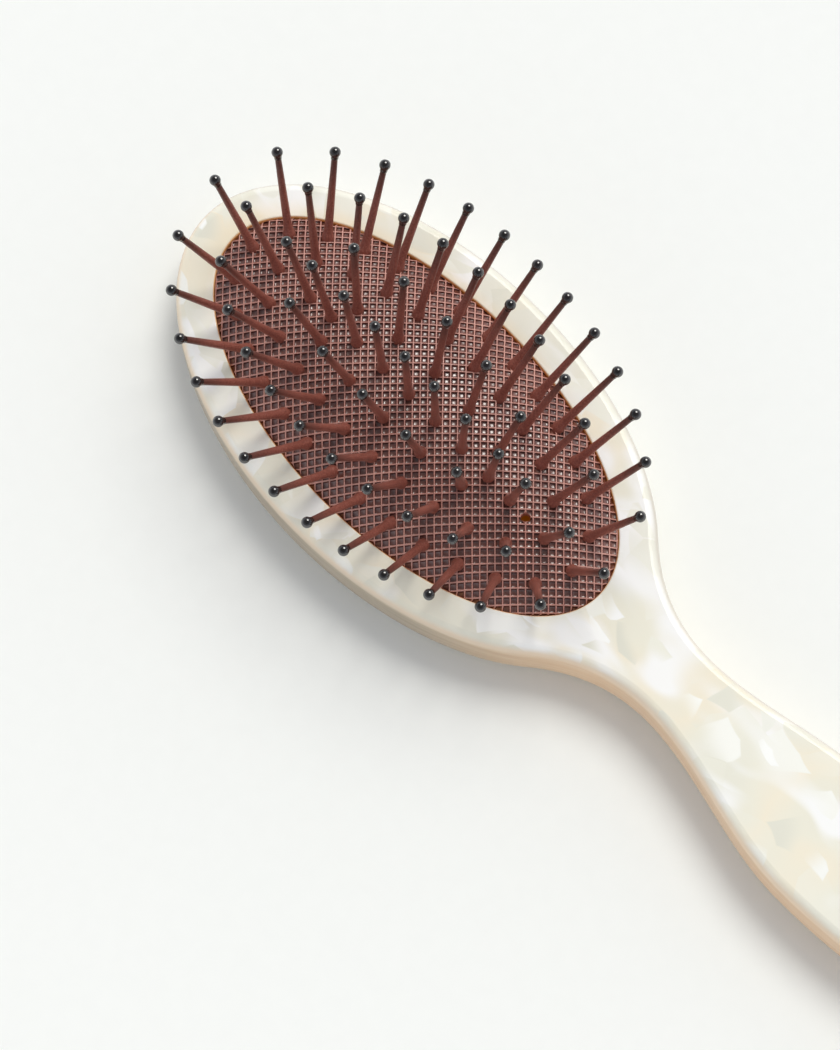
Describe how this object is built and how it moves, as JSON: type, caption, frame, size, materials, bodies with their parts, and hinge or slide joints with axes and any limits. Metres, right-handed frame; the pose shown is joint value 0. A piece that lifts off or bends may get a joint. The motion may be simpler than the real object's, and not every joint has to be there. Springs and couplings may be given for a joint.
{
  "type": "detangling brush",
  "caption": "Oval cushioned detangling brush: pearl acetate head and grip, vented domed rubber pad and ball-tipped nylon pins that sink with the pad.",
  "frame": {"origin": "on the flat back face, under the middle of the oval pad", "axes": "+X along the brush to the end of the grip, +Z out of the front face along the pins, +Y to the side"},
  "size_m": [0.23, 0.0722, 0.0417],
  "materials": {
    "pearl_acetate": "polished mother-of-pearl cellulose acetate",
    "pad_rubber": "moulded brown rubber with a raised square grid",
    "pin_nylon": "satin moulded brown nylon",
    "bead_epoxy": "glossy black dipped beads"
  },
  "bodies": {
    "brush": {"brush_body": "pearl_acetate", "cushion_pad": "pad_rubber"},
    "core_row": {"core_pin_01": "pin_nylon", "core_pin_02": "pin_nylon", "core_pin_03": "pin_nylon", "core_pin_04": "pin_nylon", "core_pin_05": "pin_nylon", "core_pin_06": "pin_nylon", "core_pin_07": "pin_nylon", "core_tips": "bead_epoxy"},
    "third_row": {"third_pin_heel": "pin_nylon", "third_pin_nose": "pin_nylon", "third_pin_pair_01": "pin_nylon", "third_pin_pair_02": "pin_nylon", "third_pin_pair_03": "pin_nylon", "third_pin_pair_04": "pin_nylon", "third_pin_pair_05": "pin_nylon", "third_tips": "bead_epoxy"},
    "second_row": {"second_pin_heel": "pin_nylon", "second_pin_nose": "pin_nylon", "second_pin_pair_01": "pin_nylon", "second_pin_pair_02": "pin_nylon", "second_pin_pair_03": "pin_nylon", "second_pin_pair_04": "pin_nylon", "second_pin_pair_05": "pin_nylon", "second_pin_pair_06": "pin_nylon", "second_pin_pair_07": "pin_nylon", "second_pin_pair_08": "pin_nylon", "second_pin_pair_09": "pin_nylon", "second_pin_pair_10": "pin_nylon", "second_tips": "bead_epoxy"},
    "outer_row": {"outer_pin_heel": "pin_nylon", "outer_pin_nose": "pin_nylon", "outer_pin_pair_01": "pin_nylon", "outer_pin_pair_02": "pin_nylon", "outer_pin_pair_03": "pin_nylon", "outer_pin_pair_04": "pin_nylon", "outer_pin_pair_05": "pin_nylon", "outer_pin_pair_06": "pin_nylon", "outer_pin_pair_07": "pin_nylon", "outer_pin_pair_08": "pin_nylon", "outer_pin_pair_09": "pin_nylon", "outer_pin_pair_10": "pin_nylon", "outer_pin_pair_11": "pin_nylon", "outer_pin_pair_12": "pin_nylon", "outer_pin_pair_13": "pin_nylon", "outer_tips": "bead_epoxy"}
  },
  "joints": [
    {"name": "cushion_press", "type": "slide", "parent": "brush", "child": "core_row", "axis": [0, 0, -1], "range_m": [0, 0.004], "stiffness_N_per_m": 5000, "deforming": ["cushion_pad"]},
    {"name": "third_row_sink", "type": "slide", "parent": "brush", "child": "third_row", "axis": [0, 0, -1], "range_m": [0, 0.00395]},
    {"name": "second_row_sink", "type": "slide", "parent": "brush", "child": "second_row", "axis": [0, 0, -1], "range_m": [0, 0.00302]},
    {"name": "outer_row_sink", "type": "slide", "parent": "brush", "child": "outer_row", "axis": [0, 0, -1], "range_m": [0, 0.00154]}
  ],
  "couplings": [
    {"joint": "third_row_sink", "follows": "cushion_press", "ratio": 0.937},
    {"joint": "second_row_sink", "follows": "cushion_press", "ratio": 0.705},
    {"joint": "outer_row_sink", "follows": "cushion_press", "ratio": 0.334}
  ]
}
